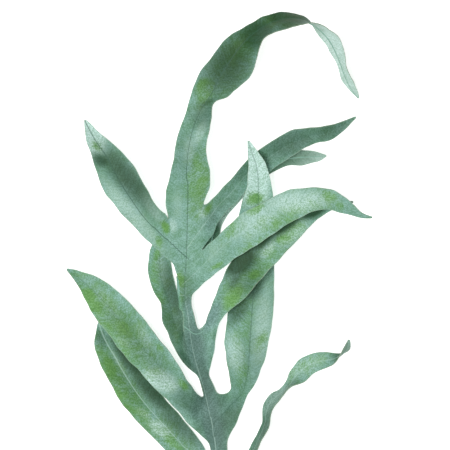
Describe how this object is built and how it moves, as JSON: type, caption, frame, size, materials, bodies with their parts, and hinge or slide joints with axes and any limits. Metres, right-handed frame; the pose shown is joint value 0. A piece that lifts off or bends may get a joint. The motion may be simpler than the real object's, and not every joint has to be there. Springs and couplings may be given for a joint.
{
  "type": "fern frond",
  "caption": "Cut frond of a lobed blue-green fern lying on its back: a round stalk and a thin blade cut to the midrib into long, waved, pointed lobes, the top one curling over",
  "frame": {"origin": "middle of the small flat under the midrib at the foot of the blade, on which the frond rests", "axes": "+Y from the cut stalk to the frond's top, its length; +Z away from the surface it lies on, its height; +X to the right as seen from above"},
  "size_m": [0.2132, 0.4416, 0.0522],
  "materials": {
    "leaf": "leathery fern blade with a pale blue-green waxy bloom, rubbed yellow-green in patches, with a slightly shining paler underside and a grey-green midrib"
  },
  "bodies": {
    "root": {"frond": "leaf"}
  },
  "joints": []
}
